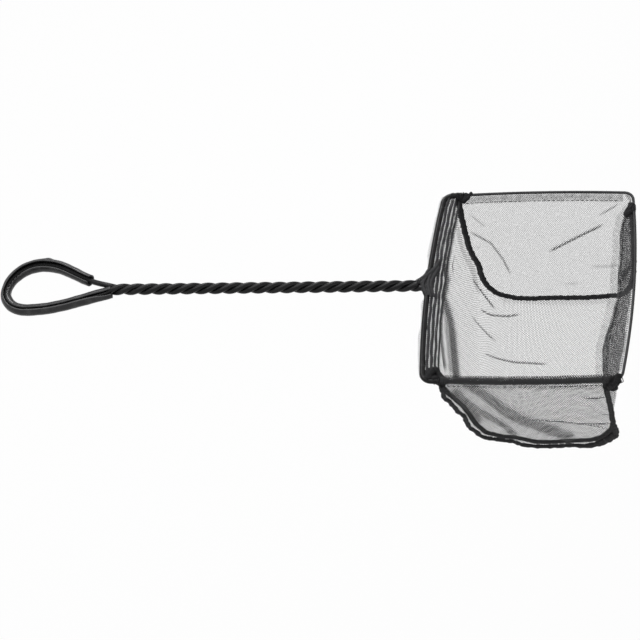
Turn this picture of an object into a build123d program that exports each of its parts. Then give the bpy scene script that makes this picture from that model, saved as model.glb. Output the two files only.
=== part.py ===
from build123d import *
import math
import os

# Aquarium fish net: a twisted wire handle with a sleeved hanging loop, a wire rim and a sewn bag.
# Millimetres. +X runs from the loop to the net, +Y to the far side, +Z up, the rim lies at Z = 0.
# The origin is on the inner face of the loop's closed end, where it hangs on a hook.

# Wire and its coat
wire_d = 2.0
strand_d = 3.5
bore_clearance = 0.2
wire_sides = 8

# Rim, measured on the wire's centre line; each side stands out by its bow at the middle
rim_length = 125.0
rim_width = 150.0
rim_corner = 6.0
side_bow = 1.5
tip_bow = 3.5
handle_bow = 3.0
coat_past_corner = 5.5
seat_depth = 5.0
seat_end_gap = 0.3

# Twisted handle
twist_pitch = 18.15
twist_half_turns = 21
strand_gap = 0.2
rings_per_turn = 8
neck_length = 8.0
neck_spread = 11.0

# Hanging loop, measured back from the twist on the wire's centre line
loop_length = 71.0
loop_high_back = 51.0
loop_high = 20.8
loop_low_back = 55.0
loop_low = 16.0
upper_leg_back = 18.0
upper_leg_rise = 7.8
upper_leg_angle = 155.0
lower_leg_back = 6.0
lower_leg_drop = 3.6
lower_leg_angle = 18.0

# Grip sleeve, a slit tube with its slit on top
sleeve_wall = 1.4
sleeve_clearance = 0.55
sleeve_droop = 0.25
sleeve_slit = 3.0
sleeve_sides = 10

# Bag: its walls turn to the floor in flats, with slopes in degrees from upright; the near side turns higher up
bag_depth = 81.0
side_inset = 16.0
handle_leg_inset = 10.5
handle_slopes = (7.0, 18.0, 35.0, 67.0)
far_handle_turns = (47.0, 64.0, 73.0)
near_handle_turns = (15.0, 55.0, 68.0)
tip_leg_inset = 9.0
tip_slopes = (0.0, 30.0, 60.0)
far_tip_turns = (70.0, 76.0)
near_tip_turns = (58.0, 70.0)
netting = 0.6

# Bound seams, hems and corner tacks
seam_width = 3.2
seam_thickness = 1.4
hem_drop = 6.0
hem_cloth = 0.5
hem_top = 1.6
hem_foot = 4.4
hem_gap = 0.5
tack_cloth = 0.9
tack_top = 3.6
tack_length = 4.5

# Bores
wire_bore = wire_d + 2 * bore_clearance
strand_bore = strand_d + 2 * bore_clearance

# Places along the handle
sleeve_bore = strand_d + 2 * sleeve_clearance
sleeve_d = sleeve_bore + 2 * sleeve_wall
loop_end_x = -sleeve_d / 2
root_x = loop_end_x + loop_length
twist_end_x = root_x + twist_half_turns * twist_pitch / 2
rim_x = twist_end_x + neck_length
tip_x = rim_x + rim_length

UP = Vector(0, 0, 1)
ACROSS = Vector(0, 1, 0)


class RimSide:
    """One bowed side of the rim: an arc that stands out by its bow at its middle."""

    def __init__(self, middle, outward, half, bow):
        self.middle = Vector(*middle)
        self.outward = Vector(*outward)
        self.along = self.outward.cross(UP)
        self.half = half
        self.radius = (half**2 + bow**2) / (2 * bow)

    def point(self, distance):
        sag = self.radius - math.sqrt(self.radius**2 - distance**2)
        return self.middle + self.along * distance - self.outward * sag

    def tangent(self, distance):
        turn = math.asin(distance / self.radius)
        return self.along * math.cos(turn) - self.outward * math.sin(turn)

    def arc(self, start, end):
        return ThreePointArc(self.point(start), self.point((start + end) / 2), self.point(end))

    def section_plane(self, distance):
        tangent = self.tangent(distance)
        return Plane(origin=self.point(distance), x_dir=UP.cross(tangent), z_dir=tangent)


def biarc(start, start_tangent, end, end_tangent):
    """Two arcs that leave start and reach end along the given unit tangents."""
    chord = end - start
    both = start_tangent + end_tangent
    spread = 2 * (1 - start_tangent.dot(end_tangent))
    reach = (-chord.dot(both) + math.sqrt(chord.dot(both) ** 2 + spread * chord.dot(chord))) / spread
    joint = (start + end + (start_tangent - end_tangent) * reach) * 0.5
    joint_tangent = (end - end_tangent * reach) - (start + start_tangent * reach)
    TangentArc(start, joint, tangent=start_tangent)
    TangentArc(joint, end, tangent=joint_tangent)


def heading(degrees):
    """A unit vector in the rim's plane."""
    return Vector(math.cos(math.radians(degrees)), math.sin(math.radians(degrees)), 0)


def upright_plane(point, tangent):
    """A section plane square to a run that lies level: local X sideways, local Y up."""
    return Plane(origin=point, x_dir=UP.cross(tangent), z_dir=tangent)


def round_section(diameter, mode=Mode.ADD):
    """A round wire or bore, drawn with flats so that its mesh stays light."""
    RegularPolygon(diameter / 2, wire_sides, rotation=180 / wire_sides, mode=mode)


def write(builder, name):
    """Names a finished piece and saves it."""
    builder.part.label = name
    export_step(builder.part, f"parts/{name}.step")


os.makedirs("parts", exist_ok=True)

# Rim sides, clockwise from above; the corners lie between them
side_half = (rim_length - handle_bow - tip_bow) / 2 - rim_corner
end_half = rim_width / 2 - side_bow - rim_corner
side_middle_x = rim_x + handle_bow + rim_corner + side_half
handle_side = RimSide((rim_x, 0, 0), (-1, 0, 0), end_half, handle_bow)
far_side = RimSide((side_middle_x, rim_width / 2, 0), (0, 1, 0), side_half, side_bow)
tip_side = RimSide((tip_x, 0, 0), (1, 0, 0), end_half, tip_bow)
near_side = RimSide((side_middle_x, -rim_width / 2, 0), (0, -1, 0), side_half, side_bow)


def corner(before, after):
    """The rounded corner between two sides of the rim."""
    biarc(
        before.point(before.half),
        before.tangent(before.half),
        after.point(-after.half),
        after.tangent(-after.half),
    )


# Twisted handle: two left-handed helices that lie level, side by side, at both ends
twist_radius = (strand_d + strand_gap) / 2
twist_slope = math.atan2(2 * math.pi * twist_radius, twist_pitch)
ring_step = twist_pitch / rings_per_turn
far_going_on = Vector(math.cos(twist_slope), 0, -math.sin(twist_slope))
near_going_on = Vector(math.cos(twist_slope), 0, math.sin(twist_slope))


def level_point(x, side):
    """Centre of a strand where the pair lies level; side is 1 on the far side, -1 on the near side."""
    return Vector(x, side * twist_radius, 0)


def level_plane(x, side, tangent):
    """Section plane of a strand where the pair lies level."""
    return Plane(origin=level_point(x, side), x_dir=ACROSS, z_dir=tangent)


def strand_plane(x):
    """Section plane of the strand that comes out of the twist on the far side."""
    turn = 2 * math.pi * (twist_end_x - x) / twist_pitch
    centre = Vector(x, twist_radius * math.cos(turn), twist_radius * math.sin(turn))
    around = Vector(0, math.sin(turn), -math.cos(turn))
    tangent = Vector(math.cos(twist_slope), 0, 0) + around * math.sin(twist_slope)
    return Plane(origin=centre, x_dir=ACROSS - tangent * tangent.Y, z_dir=tangent)


with BuildPart() as far_strand:
    for ring in range(round(twist_half_turns * rings_per_turn / 2) + 1):
        with BuildSketch(strand_plane(root_x + ring * ring_step)):
            round_section(strand_d)
    loft(ruled=True, clean=False)
write(far_strand, "far_strand")

with BuildPart() as near_strand:
    add(far_strand.part, rotation=(180, 0, 0), clean=False)
write(near_strand, "near_strand")

# The strands' least gap, measured between points on the two centre lines over one turn
far_points = [strand_plane(root_x + ring * ring_step).origin for ring in range(rings_per_turn)]
near_points = [Vector(point.X, -point.Y, -point.Z) for point in far_points]
strand_distance = min((far - near).length for far in far_points for near in near_points)
print(f"least gap between the strands {strand_distance - strand_d:.2f} mm")

# Hanging loop: leaves the twist on the far side and comes back to it on the near side
loop_stations = [
    (Vector(root_x - upper_leg_back, upper_leg_rise, 0), heading(upper_leg_angle)),
    (Vector(root_x - loop_high_back, loop_high, 0), heading(180)),
    (Vector(root_x - loop_length, 0, 0), heading(270)),
    (Vector(root_x - loop_low_back, -loop_low, 0), heading(0)),
    (Vector(root_x - lower_leg_back, -lower_leg_drop, 0), heading(lower_leg_angle)),
]
loop_start = (level_point(root_x, 1), far_going_on * -1)
loop_finish = (level_point(root_x, -1), near_going_on)


def follow(stations):
    """Pairs of arcs through a row of points with their directions."""
    for (start, start_tangent), (end, end_tangent) in zip(stations, stations[1:]):
        biarc(start, start_tangent, end, end_tangent)


with BuildPart() as loop_wire:
    with BuildLine():
        follow([loop_start, *loop_stations, loop_finish])
    with BuildSketch(level_plane(root_x, 1, far_going_on * -1)):
        round_section(strand_d)
    sweep(clean=False)
write(loop_wire, "loop_wire")

with BuildPart() as grip_sleeve:
    with BuildLine():
        follow(loop_stations)
    with BuildSketch(upright_plane(*loop_stations[0])):
        with Locations((0, -sleeve_droop)):
            RegularPolygon(sleeve_d / 2, sleeve_sides)
            RegularPolygon(sleeve_bore / 2, sleeve_sides, mode=Mode.SUBTRACT)
            Rectangle(sleeve_slit, sleeve_d, align=(Align.CENTER, Align.MIN), mode=Mode.SUBTRACT)
    sweep(clean=False)
write(grip_sleeve, "grip_sleeve")

# Rim arms: the coated strands part at the neck, follow the handle side and end past the corners
coat_end = -far_side.half + coat_past_corner
bare_end = coat_end - seat_depth + seat_end_gap

with BuildPart() as far_rim_arm:
    with BuildLine():
        biarc(
            level_point(twist_end_x, 1),
            far_going_on,
            handle_side.point(neck_spread),
            handle_side.tangent(neck_spread),
        )
        handle_side.arc(neck_spread, handle_side.half)
        corner(handle_side, far_side)
        far_side.arc(-far_side.half, coat_end)
    with BuildSketch(level_plane(twist_end_x, 1, far_going_on)):
        round_section(strand_d)
    sweep(clean=False)
    with BuildLine():
        far_side.arc(coat_end - seat_depth, coat_end + seat_end_gap)
    with BuildSketch(far_side.section_plane(coat_end - seat_depth)):
        round_section(wire_bore)
    sweep(mode=Mode.SUBTRACT, clean=False)
write(far_rim_arm, "far_rim_arm")

with BuildPart() as near_rim_arm:
    add(far_rim_arm.part, rotation=(180, 0, 0), clean=False)
write(near_rim_arm, "near_rim_arm")

with BuildPart() as rim_wire:
    with BuildLine():
        far_side.arc(bare_end, far_side.half)
        corner(far_side, tip_side)
        tip_side.arc(-tip_side.half, tip_side.half)
        corner(tip_side, near_side)
        near_side.arc(-near_side.half, -bare_end)
    with BuildSketch(far_side.section_plane(bare_end)):
        round_section(wire_d)
    sweep(clean=False)
write(rim_wire, "rim_wire")

# Bag: two outlines in side view, joined across and cut by two planes that lean in towards the floor
bag_fall = bag_depth - hem_drop
bag_lean = math.atan2(side_inset, bag_fall)


def wall_points(hem_x, inward, slopes, turns):
    """A wall in side view, from the rim's level down to the floor; inward is 1 or -1 along X."""
    depths = (0, *turns, bag_depth)
    x = hem_x - inward * hem_drop * math.tan(math.radians(slopes[0]))
    points = [(x, 0)]
    for slope, upper, lower in zip(slopes, depths, depths[1:]):
        x += inward * (lower - upper) * math.tan(math.radians(slope))
        points.append((x, -lower))
    return points


def bag_outline(y, handle_turns, tip_turns):
    """The bag's outline in side view, whose walls turn at the given depths, at one place across."""
    handle_wall = wall_points(rim_x + handle_leg_inset, 1, handle_slopes, handle_turns)
    tip_wall = wall_points(tip_x - tip_leg_inset, -1, tip_slopes, tip_turns)
    return [Vector(x, y, z) for x, z in [*handle_wall, *reversed(tip_wall)]]


far_outline = bag_outline(rim_width / 2, far_handle_turns, far_tip_turns)
near_outline = bag_outline(-rim_width / 2, near_handle_turns, near_tip_turns)


def bag_block(grow):
    """The bag below its hems, grown by an amount, as a block that reaches right across."""
    with BuildPart() as block:
        with Locations((side_middle_x, 0, -hem_drop)):
            Box(2 * rim_length, 2 * rim_width, 2 * bag_depth, align=(Align.CENTER, Align.CENTER, Align.MAX))
        for far_start, far_end, near_start in zip(far_outline, far_outline[1:], near_outline):
            outward = (far_end - far_start).cross(near_start - far_start).normalized()
            split(bisect_by=Plane(origin=far_start + outward * grow, z_dir=outward), keep=Keep.BOTTOM)
    return block.part


def side_plane(side, shift):
    """The plane of a side panel, moved outward by shift; side is 1 for far, -1 for near."""
    outward = Vector(0, side * math.cos(bag_lean), -math.sin(bag_lean))
    top = Vector(rim_x, side * (rim_width - side_bow) / 2, -hem_drop)
    return Plane(origin=top + outward * shift, x_dir=(1, 0, 0), z_dir=outward)


def keep_slab(side, thickness):
    """Cuts the part down to a slab that lies in a side panel's plane."""
    split(bisect_by=side_plane(side, thickness / 2), keep=Keep.BOTTOM)
    split(bisect_by=side_plane(side, -thickness / 2), keep=Keep.TOP)


for side, side_name in ((1, "far"), (-1, "near")):
    with BuildPart() as panel:
        add(bag_block(-seam_width / 2))
        keep_slab(side, netting)
    write(panel, f"{side_name}_panel")

    with BuildPart() as seam:
        add(bag_block(seam_width / 2))
        add(bag_block(-seam_width / 2), mode=Mode.SUBTRACT)
        keep_slab(side, seam_thickness)
    write(seam, f"{side_name}_seam")

with BuildPart() as gusset:
    add(bag_block(netting / 2))
    add(bag_block(-netting / 2), mode=Mode.SUBTRACT)
    for side in (1, -1):
        split(bisect_by=side_plane(side, -seam_thickness / 2), keep=Keep.BOTTOM)
write(gusset, "gusset")


def casing(side, start, end, bore, cloth, top, foot_reach):
    """Cloth sewn round the wire from start to end along a side, with a foot that meets the bag."""
    with BuildPart() as sewn:
        with BuildLine():
            side.arc(start, end)
        with BuildSketch(side.section_plane(start)):
            round_section(bore + 2 * cloth)
            with BuildLine():
                Polyline(
                    (-foot_reach - hem_foot / 2, -hem_drop),
                    (-foot_reach + hem_foot / 2, -hem_drop),
                    (top / 2, 0),
                    (-top / 2, 0),
                    close=True,
                )
            make_face()
            round_section(bore, mode=Mode.SUBTRACT)
        sweep(clean=False)
    return sewn.part


side_hem_start = coat_end + hem_gap
side_hem_end = far_side.half - tack_length - hem_gap
handle_reach = handle_leg_inset - handle_bow / 2
tip_reach = tip_leg_inset - tip_bow / 2

neck_edge = neck_spread + hem_gap
hems = {
    "far_hem": (far_side, side_hem_start, side_hem_end, wire_bore, 0),
    "near_hem": (near_side, -side_hem_end, -side_hem_start, wire_bore, 0),
    "tip_hem": (tip_side, -tip_side.half, tip_side.half, wire_bore, tip_reach),
    "handle_hem_far": (handle_side, neck_edge, handle_side.half, strand_bore, handle_reach),
    "handle_hem_near": (handle_side, -handle_side.half, -neck_edge, strand_bore, handle_reach),
}
for hem_name, (side, start, end, bore, reach) in hems.items():
    with BuildPart() as hem:
        add(casing(side, start, end, bore, hem_cloth, hem_top, reach), clean=False)
    write(hem, hem_name)

# Corner tacks: the seams end in gathers sewn round the wire beside each corner
with BuildPart() as corner_tacks:
    for side, bores in ((far_side, (strand_bore, wire_bore)), (near_side, (wire_bore, strand_bore))):
        for start, bore in zip((-side.half, side.half - tack_length), bores):
            add(casing(side, start, start + tack_length, bore, tack_cloth, tack_top, 0), clean=False)
write(corner_tacks, "corner_tacks")
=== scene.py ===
"""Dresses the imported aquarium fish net: coated wire, slit sleeve, netting bag, seams, hems and stage."""

import math
from functools import partial

import bmesh
import bpy
import numpy as np
from bpy.props import FloatProperty, FloatVectorProperty, PointerProperty
from mathutils import Matrix, Vector


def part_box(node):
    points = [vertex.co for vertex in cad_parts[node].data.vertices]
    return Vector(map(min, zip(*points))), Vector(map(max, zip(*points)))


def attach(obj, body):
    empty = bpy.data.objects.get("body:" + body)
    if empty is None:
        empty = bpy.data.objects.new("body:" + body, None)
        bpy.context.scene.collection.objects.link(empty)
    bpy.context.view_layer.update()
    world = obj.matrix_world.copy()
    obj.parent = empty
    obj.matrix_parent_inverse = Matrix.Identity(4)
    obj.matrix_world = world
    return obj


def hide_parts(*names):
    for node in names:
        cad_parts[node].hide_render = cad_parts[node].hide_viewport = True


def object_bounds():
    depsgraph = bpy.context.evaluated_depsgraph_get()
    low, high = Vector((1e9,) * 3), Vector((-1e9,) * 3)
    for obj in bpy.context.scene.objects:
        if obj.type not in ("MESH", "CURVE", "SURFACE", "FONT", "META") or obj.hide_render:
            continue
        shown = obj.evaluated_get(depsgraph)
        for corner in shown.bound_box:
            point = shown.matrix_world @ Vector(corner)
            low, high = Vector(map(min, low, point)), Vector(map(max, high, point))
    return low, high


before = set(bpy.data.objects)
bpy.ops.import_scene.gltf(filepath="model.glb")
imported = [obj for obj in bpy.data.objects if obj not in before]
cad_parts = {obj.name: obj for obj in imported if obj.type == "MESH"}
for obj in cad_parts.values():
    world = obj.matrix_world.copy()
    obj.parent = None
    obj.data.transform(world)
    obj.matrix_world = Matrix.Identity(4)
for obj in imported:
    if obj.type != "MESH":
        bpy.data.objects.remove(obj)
cad_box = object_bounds()

bl_info = {
    "name": "Aquarium Fish Net",
    "version": (1, 0, 0),
    "blender": (4, 5, 0),
    "location": "View3D > Sidebar > Fish Net",
    "description": "Makes the wire, sleeve, netting, seams and hems of a fish net round its frame",
    "category": "Object",
}

# All shapes are worked out in millimetres and become metres when a piece is made
MM = 0.001
BODY = "root"
# Map of places on the unrolled surface, and how gathered the cloth is at each point
FLAT_MAP = "flat"
GATHER = "gather"
UP = np.array((0.0, 0.0, 1.0))
ACROSS = np.array((0.0, 1.0, 0.0))
ALONG = np.array((1.0, 0.0, 0.0))

# Rim, as the frame has it
RIM_LENGTH = 125.0
RIM_CORNER = 6.0
SIDE_BOW = 1.5
TIP_BOW = 3.5
HANDLE_BOW = 3.0
COAT_PAST_CORNER = 5.5
# Length of the bare wire's end inside the coat
RIM_SEAT = 4.0
# Neck of each arm: where it joins the rim, from the middle, and where it leaves the twist, before the rim
FAR_NECK = (13.5, 7.5)
NEAR_NECK = (9.0, 4.5)

# Turns of the two strands of the frame's twist, which give its ends
FRAME_TWIST_TURNS = 10.5
# Three strands show in the twist: the far arm's, which comes back from the loop as a second one, and the
# near arm's. Their places round the twist at the neck, how far the two cut ends stand out of it, and how
# close the strands lie, where 1 is just touching
FAR_LAY = 0.0
RETURN_LAY = math.radians(120)
NEAR_LAY = math.radians(240)
RETURN_END = 2.0
NEAR_END = 1.5
LAY_PRESS = 0.96

# Hanging loop: points back from the twist, sideways, with their heading in degrees
LOOP_STATIONS = (
    (-18.0, 7.8, 155.0),
    (-51.0, 20.8, 180.0),
    (-71.0, 0.0, 270.0),
    (-55.0, -16.0, 0.0),
    (-6.0, -3.6, 18.0),
)

# Part of the loop that the sleeve covers, as shares of its line; the wire inside is dull past the mouth
SLEEVE_SPAN = (0.11, 0.992)
SLEEVE_MOUTH = 14.0
SLEEVE_MOUTH_EASE = 4.0

# Bag seams: distance from the handle side of the rim, and depth below it, from handle to tip
FAR_SEAM = (
    (11.4, 3.5), (12.2, 18.0), (13.5, 32.0), (15.5, 45.0), (19.3, 55.5), (21.0, 66.0), (25.4, 74.0),
    (30.5, 78.0), (40.0, 81.0), (66.0, 81.5), (95.0, 81.0), (112.0, 77.5), (115.5, 71.0),
    (118.7, 43.5), (119.0, 27.5), (118.5, 0.8),
)
NEAR_SEAM = (
    (15.0, 3.5), (17.6, 15.0), (23.6, 31.0), (26.4, 45.0), (28.0, 55.0), (30.4, 62.0), (33.2, 68.0),
    (41.4, 73.0), (49.6, 75.0), (62.0, 81.0), (82.0, 80.0), (101.0, 75.5), (107.5, 67.0),
    (111.5, 42.0), (111.5, 26.0), (111.2, 0.8),
)
# The near panel's allowance shows past its seam, where both cloths lie together
ALLOWANCE_ROWS = 5
ALLOWANCE_GATHER = 0.2
# The side panels lean in from their hems down to the floor, and sway a little
SIDE_INSET = 16.0
HEM_DROP = 6.0
BAG_DEPTH = 81.0
SEAM_INSET = 0.6
PANEL_TOP = 0.6
PANEL_SWAY = 0.7
TIP_HEM_DROP = 8.0
# Slack of the long strip's parts; places on it are shares of its length from the handle
HANDLE_WALL_SLACK = 4.5
HANDLE_WALL_SLACK_END = 0.30
SLACK_DEPTH = 45.0
TIP_WALL_SLACK_START = 0.72
FLOOR_SLACK = 1.6
STRIP_SWAY = 0.6
# Where its denser handle wall ends and its denser tip wall begins
HANDLE_WALL_END = 0.25
TIP_WALL_START = 0.735
# How far the tip wall sags into the bag, at shares of the way from the far seam to the near one
TIP_WALL_SAG = (
    (0.0, 0.0), (0.13, 3.9), (0.27, 2.8), (0.4, 1.7), (0.5, 0.6), (0.6, 1.9), (0.74, 4.8), (0.87, 4.8),
    (1.0, 0.0),
)
# Folds of the tip side: hundredths of the way to the near seam and depth, half width, strength
TIP_WALL_FOLDS = (
    (((3, 12), (25, 13), (50, 13.5), (75, 13), (97, 11)), 1.3, 0.75),
)
# The same on its hem: distance along it and depth
TIP_HEM_FOLDS = (
    (((57, 0.5), (64, 4.5), (73, 8)), 1.1, 0.65),
)
# Hems: gap to the end of the coat, width of the tip hem's turned-in cloth, where the handle hem's fringe
# begins and how wide that hem is
HEM_GAP = 0.5
TIP_ALLOWANCE = 5.0
FRINGE_INSIDE = 1.5
HANDLE_HEM_WIDTH = 10.0
# Rolled near hem: radius outside and at the core, how far it winds, and its place on the wire
NEAR_ROLL = 2.75
NEAR_ROLL_CORE = 1.35
NEAR_ROLL_WINDS = (-0.6 * math.pi, 3.6 * math.pi)
NEAR_ROLL_POINTS = 46
NEAR_ROLL_SEAT = (0.5, 0.4)
# Holes in each way of the cloth, where it is drawn out or in, as a share of the mesh's own
FAR_MESH_DRAWN = (1.15, 1.15)
NEAR_MESH_DRAWN = (1.0, 0.6)

# Pleats of the hem beside the handle: place inward from the wire, and radius
HANDLE_PLEATS = ((2.9, 0.90), (5.2, 0.95), (7.4, 0.80), (9.4, 0.60))

# Thread wound round each tack: its turns, the part of the tack's line that they cover, and its radius
WINDING_TURNS = 8
WINDING_SPAN = (0.1, 0.66)
WINDING_THREAD = 0.26
LOOSE_THREAD = 0.17

# Viewing angle, fitted to the photograph; pixels are in its 640 by 640 frame
PHOTO_SIZE = 640
AZIMUTH = math.radians(18.158)
ELEVATION = math.radians(48.311)
ROLL = math.radians(14.443)
DISTANCE = 1523.6
PIXELS_PER_MM = 1.626
TARGET_PIXEL = (315.68, 287.12)
TARGET_BEFORE_RIM = 70.0
SENSOR_WIDTH = 36.0
# Share of pure white in what the camera sees of the floor; the rest keeps the shadow
FLOOR_WHITE = 0.92

# Pixels over which a crease fades out at each end, and how far it lifts the cloth
CREASE_FADE = 7.0
CREASE_HEIGHT = 1.2
# Creases of the netting: pixels along the line, half width in pixels, strength
FAR_CREASES = (
    (((548, 252), (575, 238), (604, 224)), 0.9, 0.80),
    (((598, 216), (620, 203)), 0.8, 0.45),
    (((469, 231), (491, 243), (503, 259), (511, 275)), 0.9, 0.50),
    (((468, 213), (487, 228)), 0.9, 0.25),
    (((474, 247), (482, 248)), 0.8, 0.30),
    (((590, 266.5), (621, 265.5)), 1.5, 0.18),
    (((562, 284), (581, 283.5)), 1.2, 0.15),
)
GUSSET_CREASES = (
    (((471, 276), (482, 291), (496, 310)), 0.9, 0.70),
    (((479, 309), (492, 315), (508, 316), (521, 314)), 0.9, 0.70),
    (((471, 315), (483, 329), (496, 342)), 0.9, 0.55),
    (((483, 353), (497, 358), (514, 362), (548, 364)), 0.9, 0.60),
    (((455, 254), (453, 266), (454, 277)), 0.9, 0.45),
    (((456, 222), (463, 250), (474, 274), (480, 296)), 4.5, 0.20),
    (((498, 298), (540, 301), (614, 300)), 4.0, 0.13),
    (((452, 214), (448, 240), (444, 262), (448, 280), (444, 297), (447, 306), (452, 325), (458, 384)),
     6.0, 0.80),
    (((444, 300), (441, 318), (442, 338), (446, 372)), 3.0, 0.75),
    (((447, 304), (450, 335), (455, 378)), 9.0, 0.42),
)
NEAR_CREASES = (
    (((461, 378), (482, 393), (500, 407), (518, 418), (540, 426), (558, 432), (576, 440)), 8.5, 0.56),
    (((462, 398), (480, 411), (504, 425), (518, 437)), 5.0, 0.52),
    (((450, 387), (461, 398), (472, 411), (482, 425)), 7.5, 0.62),
    (((525, 419), (560, 421), (585, 424), (612, 423)), 0.9, 0.60),
    (((580, 397), (596, 398), (608, 396)), 0.9, 0.55),
    (((583, 424), (597, 426), (611, 430)), 0.8, 0.40),
    (((598, 415), (613, 414)), 0.8, 0.35),
    (((440, 386), (520, 387), (612, 387)), 4.0, 0.20),
)


# Mesh of the netting, in cells: how far its lines drift and sway, and the yarn that full gathering adds
MESH_DRIFT = 0.9
MESH_SWAY = 0.07
GATHERED_YARN = 0.62

# Stage: half the floor's width, and each light's place from the net's middle, size and power setting
FLOOR_HALF = 3.0
LIGHTS = (
    ("key_light", (-0.35, 0.25, 1.1), 1.1, "key_power"),
    ("fill_light", (0.9, -0.9, 0.5), 0.8, "fill_power"),
    ("back_light", (-0.25, 0.95, 0.75), 0.28, "back_power"),
)
WHITE = (1.0, 1.0, 1.0, 1.0)


def mm(length):
    """A length property in millimetres."""
    return length / MM


def length_property(name, description, default):
    return FloatProperty(name=name, description=description, default=default, min=0.0, unit="LENGTH",
                         subtype="DISTANCE", precision=5)


def colour_property(name, description, default):
    return FloatVectorProperty(name=name, description=description, default=default, size=3, min=0.0,
                               max=1.0, subtype="COLOR")


def power_property(name, description, default):
    return FloatProperty(name=name, description=description, default=default, min=0.0, unit="POWER")


class FishNetWire(bpy.types.PropertyGroup):
    """Sizes and colours of the wire and its coat."""

    strand_diameter: length_property("Strand", "Diameter of the coated wire", 0.0035)
    rim_diameter: length_property("Rim wire", "Diameter of the bare wire in the hems", 0.0017)
    twist_turns: FloatProperty(name="Twist turns", description="Full turns of each strand in the handle",
                               default=7.0, min=1.0)
    coat_colour: colour_property("Coat", "Colour of the vinyl coat", (0.007, 0.007, 0.0075))
    steel_colour: colour_property("Steel", "Colour of the bare wire", (0.045, 0.045, 0.047))


class FishNetSleeve(bpy.types.PropertyGroup):
    """Sizes and colour of the slit sleeve on the loop."""

    width: length_property("Width", "Outside width of the sleeve", 0.0074)
    wall: length_property("Wall", "Thickness of the sleeve's wall", 0.0012)
    colour: colour_property("Vinyl", "Colour of the sleeve", (0.011, 0.011, 0.012))


class FishNetBag(bpy.types.PropertyGroup):
    """Sizes and colours of the netting and its sewing."""

    mesh_pitch: length_property("Mesh pitch", "Distance between crossings of the mesh", 0.0015)
    thread_share: FloatProperty(name="Thread share", description="Thread width as a share of the pitch",
                                default=0.20, min=0.0, max=1.0, subtype="FACTOR")
    hem_depth: length_property("Hem depth", "Depth of the turned hems on the far side", 0.0085)
    seam_width: length_property("Seam width", "Width of the bound seams", 0.0039)
    netting_colour: colour_property("Netting", "Colour of the mesh yarn", (0.016, 0.016, 0.017))
    seam_colour: colour_property("Seam", "Colour of the seam's binding", (0.018, 0.018, 0.019))
    thread_colour: colour_property("Thread", "Colour of the sewing thread", (0.012, 0.012, 0.013))


class FishNetStage(bpy.types.PropertyGroup):
    """Floor, light and background."""

    floor_drop: length_property("Floor drop", "Height of the net above the floor", 0.30)
    floor_colour: colour_property("Floor", "Colour of the floor", (0.85, 0.85, 0.85))
    key_power: power_property("Key light", "Power of the large overhead light", 10.0)
    fill_power: power_property("Fill light", "Power of the side light", 2.0)
    back_power: power_property("Back light", "Power of the small light behind the net", 4.0)
    world_strength: FloatProperty(name="Room light", description="Strength of the even light all round",
                                  default=0.42, min=0.0)


class FishNet(bpy.types.PropertyGroup):
    """Everything that can be set on the fish net."""

    wire: PointerProperty(type=FishNetWire)
    sleeve: PointerProperty(type=FishNetSleeve)
    bag: PointerProperty(type=FishNetBag)
    stage: PointerProperty(type=FishNetStage)


def net(context):
    return context.scene.fish_net


# Lines and grids of points

def unit(vectors):
    """Vectors made one long; a vector of no length stays as it is."""
    return vectors / np.maximum(np.linalg.norm(vectors, axis=-1, keepdims=True), 1e-9)


def held(values):
    """Values kept between 0 and 1."""
    return np.clip(values, 0, 1)


def paired(first, second):
    """Two arrays as one array of points with two coordinates."""
    return np.stack(np.broadcast_arrays(first, second), axis=-1)


def headings(path):
    """The unit direction of a line at each of its points."""
    return unit(np.gradient(path, axis=0))


def distance_along(path):
    steps = np.linalg.norm(np.diff(path, axis=0), axis=1)
    return np.concatenate(([0.0], np.cumsum(steps)))


def points_at(path, at, along=None):
    """A line at given places, counted as along counts its points, or else in distances along it."""
    along = distance_along(path) if along is None else along
    return np.stack([np.interp(at, along, path[:, axis]) for axis in range(3)], axis=1)


def hermite(t, start, start_slope, end, end_slope):
    """A smooth line at shares t of its way, from its two ends and its slopes there."""
    return ((2 * t**3 - 3 * t**2 + 1) * start + (t**3 - 2 * t**2 + t) * start_slope
            + (3 * t**2 - 2 * t**3) * end + (t**3 - t**2) * end_slope)


def curve_through(points, at=None, knots=None, count=100):
    """A smooth line through points, at given places on its knots or evenly spread."""
    points = np.asarray(points, float)
    knots = distance_along(points) if knots is None else np.asarray(knots, float)
    at = np.linspace(knots[0], knots[-1], count) if at is None else np.asarray(at, float)
    gaps = np.diff(knots)
    slopes = np.diff(points, axis=0) / gaps[:, None]
    weight = (gaps[:-1] / (gaps[:-1] + gaps[1:]))[:, None]
    inner = slopes[:-1] * (1 - weight) + slopes[1:] * weight
    slopes = np.concatenate((slopes[:1], inner, slopes[-1:]))
    span = np.clip(np.searchsorted(knots, at, side="right") - 1, 0, len(gaps) - 1)
    t = ((at - knots[span]) / gaps[span])[:, None]
    long = gaps[span][:, None]
    return hermite(t, points[span], slopes[span] * long, points[span + 1], slopes[span + 1] * long)


def curve_between(start, start_heading, end, end_heading, count, fullness=1.15):
    """A smooth line from start to end that leaves and arrives along unit headings."""
    start, end = np.asarray(start, float), np.asarray(end, float)
    pull = np.linalg.norm(end - start) * fullness
    return hermite(np.linspace(0, 1, count)[:, None], start, np.asarray(start_heading) * pull,
                   end, np.asarray(end_heading) * pull)


def even_steps(path, step):
    """The same line with its points about one step apart."""
    along = distance_along(path)
    return points_at(path, np.linspace(0, along[-1], max(2, round(along[-1] / step) + 1)), along)


def chain(*lines):
    """Lines that meet end to end, as one line."""
    return np.concatenate([lines[0]] + [line[1:] for line in lines[1:]])


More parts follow.
